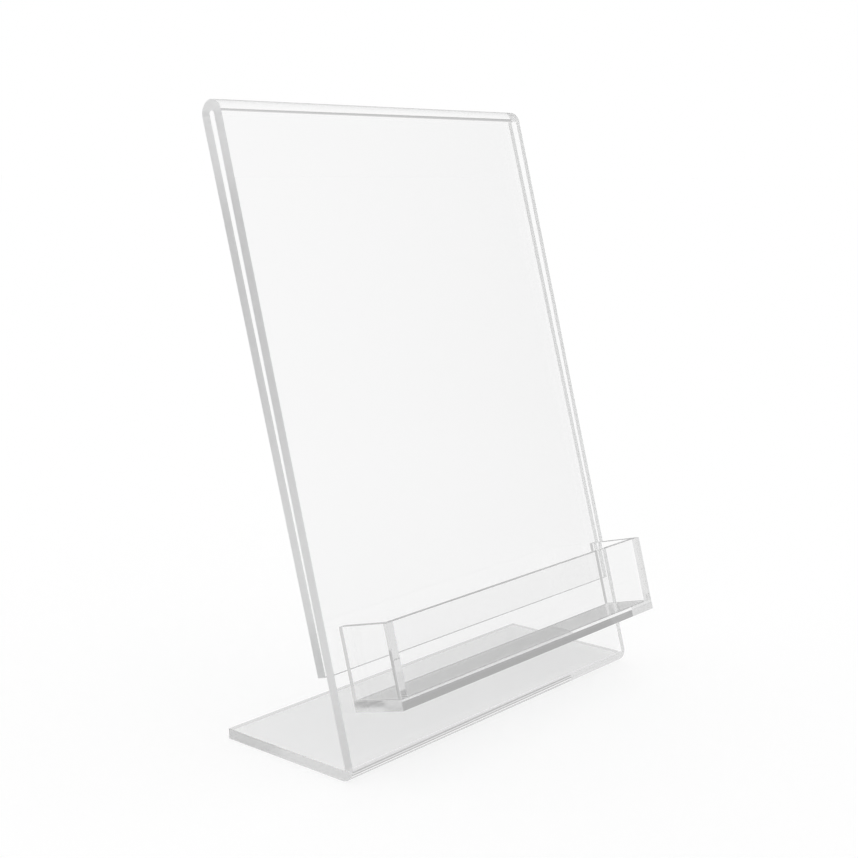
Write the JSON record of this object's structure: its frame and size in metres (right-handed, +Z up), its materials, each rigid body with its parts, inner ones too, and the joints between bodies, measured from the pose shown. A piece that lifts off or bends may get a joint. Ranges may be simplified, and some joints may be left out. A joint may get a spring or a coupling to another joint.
{
  "type": "sign holder with card holder",
  "caption": "Clear acrylic counter sign holder that leans back on its own base, with a slot for a portrait insert and an open-topped business card pocket on its front.",
  "frame": {"origin": "centre of the object's outline, on the table", "axes": "+X to the right as seen from the front, along the width; +Y from the front to the back; +Z up, the longest extent"},
  "size_m": [0.107, 0.0556, 0.1479],
  "materials": {
    "bent_acrylic": "clear, polished",
    "pocket_acrylic": "clear, polished"
  },
  "bodies": {
    "root": {"holder_sheet": "bent_acrylic", "pocket_floor": "pocket_acrylic", "pocket_left_wall": "pocket_acrylic", "pocket_right_wall": "pocket_acrylic", "pocket_front_wall": "pocket_acrylic"}
  },
  "joints": []
}
